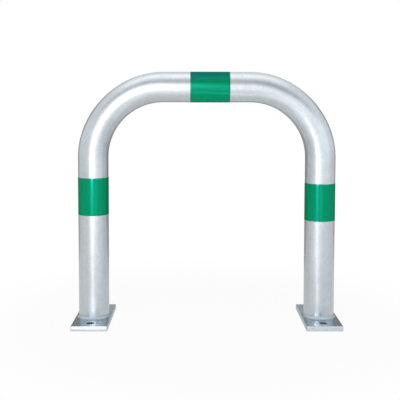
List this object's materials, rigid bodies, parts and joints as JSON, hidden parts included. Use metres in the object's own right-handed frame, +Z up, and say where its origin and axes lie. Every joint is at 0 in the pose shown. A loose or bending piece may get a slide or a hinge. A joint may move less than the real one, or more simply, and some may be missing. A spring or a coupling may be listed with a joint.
{
  "type": "impact protection hoop",
  "caption": "Low round-tube steel guard hoop on flat bolt-down base plates, welded and galvanised, with film marking bands, that shields an object behind it from vehicles.",
  "frame": {"origin": "on the ground, midway between the two legs, in the plane of the hoop", "axes": "+X from the left leg to the right leg as the front shows them, -Y towards the front, +Z up"},
  "size_m": [0.522, 0.15, 0.4983],
  "materials": {
    "galvanised_steel": "hot-dip galvanised, satin, faint spangle",
    "marking_film": "self-adhesive green film, smooth satin gloss"
  },
  "bodies": {
    "root": {"hoop_tube": "galvanised_steel", "base_plate_left": "galvanised_steel", "base_plate_right": "galvanised_steel", "weld_bead_left": "galvanised_steel", "weld_bead_right": "galvanised_steel", "marking_band_left": "marking_film", "marking_band_top": "marking_film", "marking_band_right": "marking_film"}
  },
  "joints": []
}
